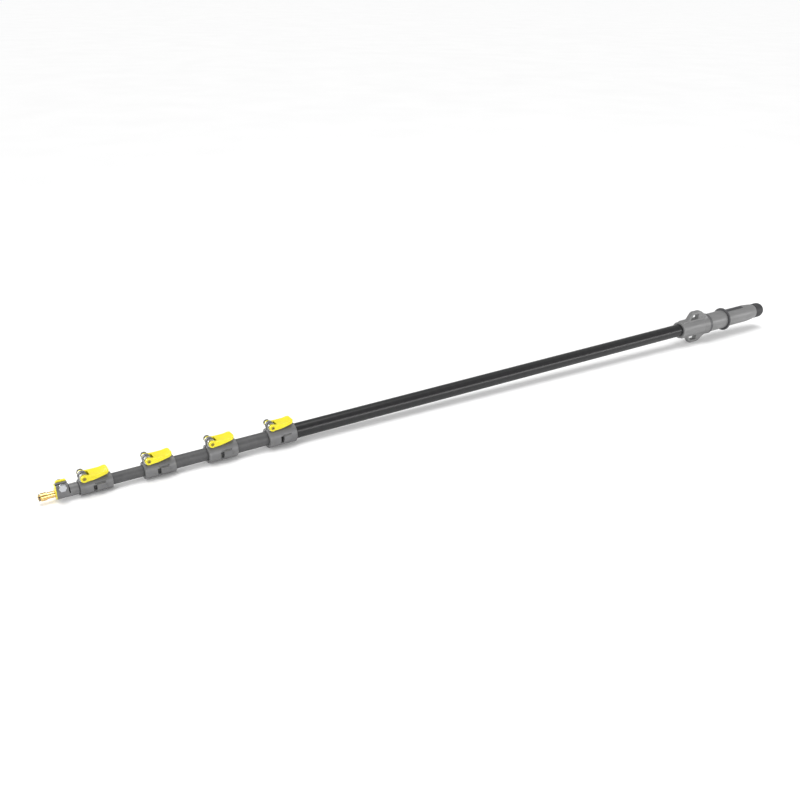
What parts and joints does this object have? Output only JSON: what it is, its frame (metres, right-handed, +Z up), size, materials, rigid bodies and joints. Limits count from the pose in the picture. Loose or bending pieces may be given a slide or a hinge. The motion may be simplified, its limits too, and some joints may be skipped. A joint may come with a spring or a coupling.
{
  "type": "telescopic window cleaning pole",
  "caption": "Telescopic window cleaning pole with nested tubes, lever clamps on split collars, a brush nipple at the front and a guarded grip with hose loops.",
  "frame": {"origin": "on the pole's axis, inside the land of the brush nipple", "axes": "+X along the pole from the nipple to the handle, +Z up with the clamp levers on top"},
  "size_m": [2.016, 0.062, 0.0874],
  "materials": {
    "outer_tube": "gloss",
    "inner_tube": "satin",
    "collar_grey": "satin",
    "lever_yellow": "satin",
    "nut_grey": "satin",
    "liner": "matte",
    "bush": "matte",
    "steel": "satin",
    "dark_steel": "satin",
    "brass": "polished",
    "rubber": "matte",
    "handle_grey": "satin",
    "guard_dark": "matte"
  },
  "bodies": {
    "outer_section": {"tube_5": "outer_tube", "collar_4": "collar_grey", "grip_liner_4": "liner", "clamp_bolt_4": "dark_steel", "handle_sleeve": "handle_grey", "shoulder_ring": "handle_grey", "guard_body": "handle_grey", "guard_flange": "guard_dark", "grip": "handle_grey", "end_cap": "rubber", "base_plug": "bush", "handle_screws": "dark_steel", "lug_washers_4": "steel"},
    "section_4": {"tube_4": "inner_tube", "guide_bush_4": "bush", "collar_3": "collar_grey", "grip_liner_3": "liner", "clamp_bolt_3": "dark_steel", "lug_washers_3": "steel"},
    "section_3": {"tube_3": "inner_tube", "guide_bush_3": "bush", "collar_2": "collar_grey", "grip_liner_2": "liner", "clamp_bolt_2": "dark_steel", "lug_washers_2": "steel"},
    "section_2": {"tube_2": "inner_tube", "guide_bush_2": "bush", "collar_1": "collar_grey", "grip_liner_1": "liner", "clamp_bolt_1": "dark_steel", "lug_washers_1": "steel"},
    "section_1": {"tube_1": "inner_tube", "guide_bush_1": "bush", "head_clamp": "collar_grey", "head_face": "lever_yellow", "head_bolt": "steel", "head_washer": "steel", "head_nut": "steel"},
    "nipple": {"brush_nipple": "brass", "nipple_ring": "rubber"},
    "quick_release": {"head_lever": "lever_yellow"},
    "lever_1": {"clamp_lever_1": "lever_yellow"},
    "nut_1": {"thumb_nut_1": "nut_grey"},
    "lever_2": {"clamp_lever_2": "lever_yellow"},
    "nut_2": {"thumb_nut_2": "nut_grey"},
    "lever_3": {"clamp_lever_3": "lever_yellow"},
    "nut_3": {"thumb_nut_3": "nut_grey"},
    "lever_4": {"clamp_lever_4": "lever_yellow"},
    "nut_4": {"thumb_nut_4": "nut_grey"}
  },
  "joints": [
    {"name": "section_4_slide", "type": "slide", "parent": "outer_section", "child": "section_4", "axis": [-1, 0, 0], "range_m": [0, 1.3]},
    {"name": "section_3_slide", "type": "slide", "parent": "section_4", "child": "section_3", "axis": [-1, 0, 0], "range_m": [0, 1.3]},
    {"name": "section_2_slide", "type": "slide", "parent": "section_3", "child": "section_2", "axis": [-1, 0, 0], "range_m": [0, 1.3]},
    {"name": "section_1_slide", "type": "slide", "parent": "section_2", "child": "section_1", "axis": [-1, 0, 0], "range_m": [0, 1.3]},
    {"name": "lever_1_hinge", "type": "hinge", "parent": "section_2", "child": "lever_1", "pos_m": [0.0735, 0, 0.02145], "axis": [0, -1, 0], "range_deg": [0, 140]},
    {"name": "nut_1_turn", "type": "hinge", "parent": "section_2", "child": "nut_1", "pos_m": [0.0735, 0, 0.02145], "axis": [0, 1, 0], "continuous": true},
    {"name": "lever_2_hinge", "type": "hinge", "parent": "section_3", "child": "lever_2", "pos_m": [0.1989, 0, 0.02315], "axis": [0, -1, 0], "range_deg": [0, 140]},
    {"name": "nut_2_turn", "type": "hinge", "parent": "section_3", "child": "nut_2", "pos_m": [0.1989, 0, 0.02315], "axis": [0, 1, 0], "continuous": true},
    {"name": "lever_3_hinge", "type": "hinge", "parent": "section_4", "child": "lever_3", "pos_m": [0.3305, 0, 0.02485], "axis": [0, -1, 0], "range_deg": [0, 140]},
    {"name": "nut_3_turn", "type": "hinge", "parent": "section_4", "child": "nut_3", "pos_m": [0.3305, 0, 0.02485], "axis": [0, 1, 0], "continuous": true},
    {"name": "lever_4_hinge", "type": "hinge", "parent": "outer_section", "child": "lever_4", "pos_m": [0.4639, 0, 0.02655], "axis": [0, -1, 0], "range_deg": [0, 140]},
    {"name": "nut_4_turn", "type": "hinge", "parent": "outer_section", "child": "nut_4", "pos_m": [0.4639, 0, 0.02655], "axis": [0, 1, 0], "continuous": true},
    {"name": "quick_release_hinge", "type": "hinge", "parent": "section_1", "child": "quick_release", "pos_m": [0.0317, 0, 0.016], "axis": [0, -1, 0], "range_deg": [0, 50]},
    {"name": "nipple_slide", "type": "slide", "parent": "section_1", "child": "nipple", "axis": [-1, 0, 0], "range_m": [0, 0.02]}
  ]
}
